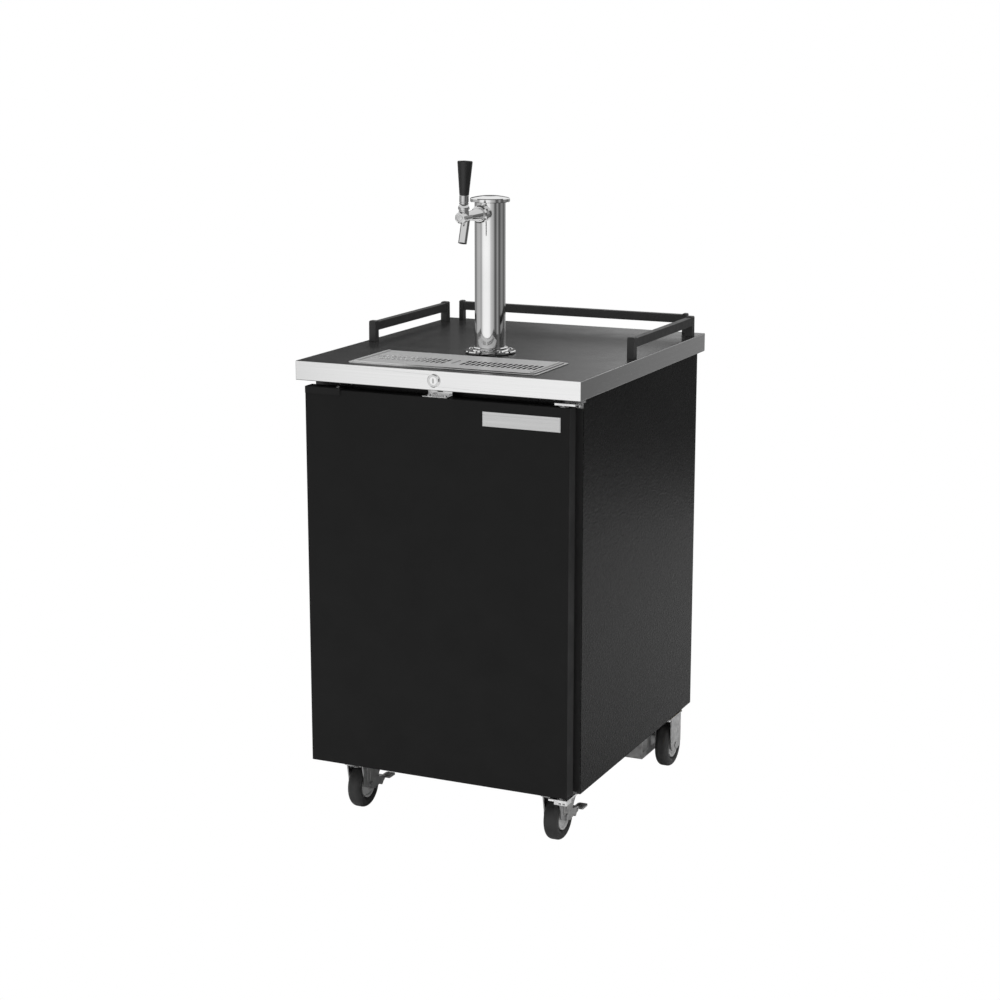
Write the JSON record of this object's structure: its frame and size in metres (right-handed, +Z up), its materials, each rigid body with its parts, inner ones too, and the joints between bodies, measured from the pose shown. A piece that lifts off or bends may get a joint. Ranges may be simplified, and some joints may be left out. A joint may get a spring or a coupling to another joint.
{
  "type": "draft beer dispenser",
  "caption": "Keg cooler on casters with a hinged, lockable door, a drip tray, guard rails and a draft tower whose faucet lever works a valve shaft.",
  "frame": {"origin": "on the floor under the middle of the worktop", "axes": "+X to the right as seen by someone at the door, +Y to the back, +Z up"},
  "size_m": [0.61, 0.704, 1.342],
  "materials": {
    "black_vinyl": "fine leather grain, matte",
    "black_enamel": "satin",
    "foam": "matte",
    "white_liner": "satin",
    "black_plastic": "satin",
    "laminate": "satin",
    "stainless": "brushed",
    "chrome": "polished",
    "zinc": "zinc plated, satin",
    "black_tube": "satin",
    "rubber": "matte",
    "tyre": "matte",
    "grey_plastic": "satin",
    "galvanised": "galvanised, dull",
    "fins": "plain",
    "nylon": "satin"
  },
  "bodies": {
    "cabinet": {"outer_case": "black_vinyl", "foam_insulation": "foam", "inner_liner": "white_liner", "breaker_frame": "black_plastic", "base_plate": "galvanised", "worktop_panel": "laminate", "worktop_trim": "stainless", "rail_left": "black_tube", "rail_right": "black_tube", "rail_back": "black_tube", "drip_tray": "stainless", "tower_column": "chrome", "tower_flange": "chrome", "tower_gasket": "rubber", "tower_screws": "chrome", "tower_cap": "chrome", "faucet_shank": "chrome", "shank_nuts": "chrome", "beer_elbow": "stainless", "faucet_body": "chrome", "faucet_bonnet": "chrome", "lock_barrel": "chrome", "hinge_brackets": "zinc", "caster_plates": "zinc", "rear_forks": "zinc", "base_pan": "galvanised", "compressor": "black_enamel", "condenser": "fins", "condenser_motor": "black_enamel", "rear_grille": "black_enamel", "evaporator_cover": "white_liner", "evaporator_coil": "fins", "power_gland": "black_plastic"},
    "door": {"door_pan": "black_enamel", "door_foam": "foam", "door_liner": "white_liner", "door_gasket": "rubber", "door_corner_cap": "black_plastic", "door_bushes": "nylon", "door_strike": "zinc"},
    "drip_grid": {"drip_grid": "stainless"},
    "faucet_shaft": {"faucet_shaft": "stainless"},
    "faucet_lever": {"faucet_lever": "chrome", "tap_handle": "black_plastic"},
    "lock_plug": {"lock_plug": "stainless"},
    "caster_left": {"caster_fork_left": "zinc"},
    "caster_right": {"caster_fork_right": "zinc"},
    "front_wheel_left": {"caster_tyre_left": "tyre", "caster_hub_left": "grey_plastic"},
    "front_wheel_right": {"caster_tyre_right": "tyre", "caster_hub_right": "grey_plastic"},
    "brake_left": {"brake_pedal_left": "zinc"},
    "brake_right": {"brake_pedal_right": "zinc"},
    "rear_wheel_left": {"rear_tyre_left": "tyre", "rear_hub_left": "grey_plastic"},
    "rear_wheel_right": {"rear_tyre_right": "tyre", "rear_hub_right": "grey_plastic"},
    "condenser_fan": {"condenser_fan": "black_plastic"},
    "evaporator_fan": {"evaporator_fan": "black_plastic"},
    "thermostat_knob": {"thermostat_knob": "black_plastic"}
  },
  "joints": [
    {"name": "door_hinge", "type": "hinge", "parent": "cabinet", "child": "door", "pos_m": [0.2655, -0.334, 0.5125], "axis": [0, 0, 1], "range_deg": [0, 105]},
    {"name": "grid_lift", "type": "slide", "parent": "cabinet", "child": "drip_grid", "axis": [0, 0, 1], "range_m": [0, 0.12]},
    {"name": "faucet_pull", "type": "hinge", "parent": "cabinet", "child": "faucet_lever", "pos_m": [0, -0.212, 1.25], "axis": [1, 0, 0], "range_deg": [0, 28]},
    {"name": "valve_slide", "type": "slide", "parent": "cabinet", "child": "faucet_shaft", "axis": [0, 1, 0], "range_m": [0, 0.0085]},
    {"name": "lock_turn", "type": "hinge", "parent": "cabinet", "child": "lock_plug", "pos_m": [0, -0.348, 0.932], "axis": [0, 1, 0], "range_deg": [0, 90]},
    {"name": "swivel_left", "type": "hinge", "parent": "cabinet", "child": "caster_left", "pos_m": [-0.2215, -0.276, 0.104], "axis": [0, 0, 1], "continuous": true},
    {"name": "front_roll_left", "type": "hinge", "parent": "caster_left", "child": "front_wheel_left", "pos_m": [-0.2215, -0.246, 0.048], "axis": [1, 0, 0], "continuous": true},
    {"name": "brake_press_left", "type": "hinge", "parent": "caster_left", "child": "brake_left", "pos_m": [-0.2215, -0.191, 0.0455], "axis": [-1, 0, 0], "range_deg": [0, 18]},
    {"name": "rear_roll_left", "type": "hinge", "parent": "cabinet", "child": "rear_wheel_left", "pos_m": [-0.27, 0.256, 0.048], "axis": [1, 0, 0], "continuous": true},
    {"name": "swivel_right", "type": "hinge", "parent": "cabinet", "child": "caster_right", "pos_m": [0.2215, -0.276, 0.104], "axis": [0, 0, 1], "continuous": true},
    {"name": "front_roll_right", "type": "hinge", "parent": "caster_right", "child": "front_wheel_right", "pos_m": [0.2215, -0.246, 0.048], "axis": [1, 0, 0], "continuous": true},
    {"name": "brake_press_right", "type": "hinge", "parent": "caster_right", "child": "brake_right", "pos_m": [0.2215, -0.191, 0.0455], "axis": [-1, 0, 0], "range_deg": [0, 18]},
    {"name": "rear_roll_right", "type": "hinge", "parent": "cabinet", "child": "rear_wheel_right", "pos_m": [0.27, 0.256, 0.048], "axis": [1, 0, 0], "continuous": true},
    {"name": "condenser_fan_spin", "type": "hinge", "parent": "cabinet", "child": "condenser_fan", "pos_m": [-0.1, 0.274, 0.1495], "axis": [0, 1, 0], "continuous": true},
    {"name": "evaporator_fan_spin", "type": "hinge", "parent": "cabinet", "child": "evaporator_fan", "pos_m": [-0.07, 0.167, 0.829], "axis": [0, 1, 0], "continuous": true},
    {"name": "thermostat_turn", "type": "hinge", "parent": "cabinet", "child": "thermostat_knob", "pos_m": [0.11, 0.15, 0.829], "axis": [0, -1, 0], "range_deg": [0, 270]}
  ],
  "couplings": [
    {"joint": "valve_slide", "follows": "faucet_pull", "m_per_rad": 0.016576}
  ]
}
